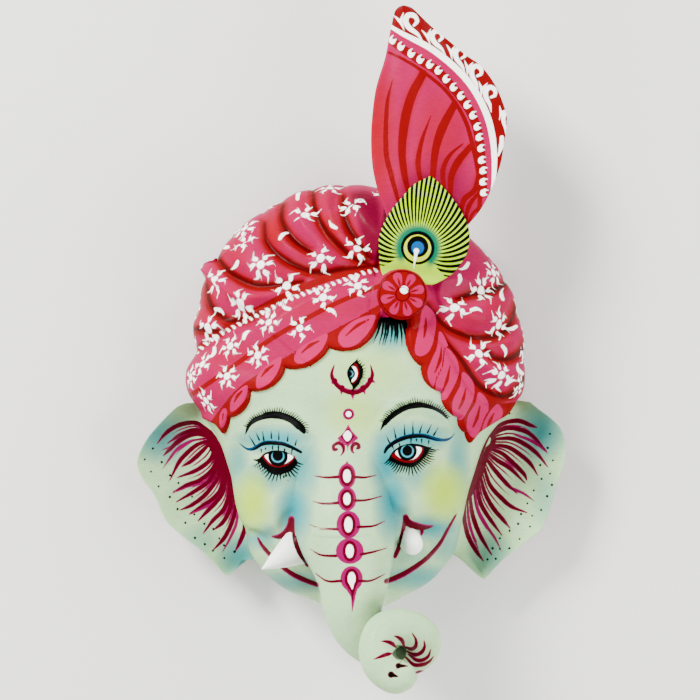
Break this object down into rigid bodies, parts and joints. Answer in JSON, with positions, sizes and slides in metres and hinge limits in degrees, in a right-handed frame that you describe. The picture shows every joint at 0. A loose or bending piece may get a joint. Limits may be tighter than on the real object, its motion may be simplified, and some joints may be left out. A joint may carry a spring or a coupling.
{
  "type": "ganesha mask",
  "caption": "Hollow painted papier-mache mask of an elephant-headed figure with turban, crest, peacock feather, tusks and a curled trunk, lying on its open back.",
  "frame": {"origin": "middle of the mask's extent across and up, on the plane of its open back", "axes": "+X to the right of someone who faces the mask, +Y from the trunk's curl up to the crest's tip, +Z out of the face; it lies on its back"},
  "size_m": [0.293, 0.4589, 0.1487],
  "materials": {
    "painted_shell": "papier-mache with gloss paint and varnish",
    "painted_crest": "paper board with gloss paint and varnish",
    "painted_feather": "paper board with gloss paint and varnish",
    "painted_brooch": "papier-mache with gloss paint and varnish",
    "painted_tusk": "papier-mache with gloss white paint"
  },
  "bodies": {
    "root": {"mask_shell": "painted_shell", "crest": "painted_crest", "feather": "painted_feather", "brooch": "painted_brooch", "tusk_left": "painted_tusk", "tusk_right": "painted_tusk"}
  },
  "joints": []
}
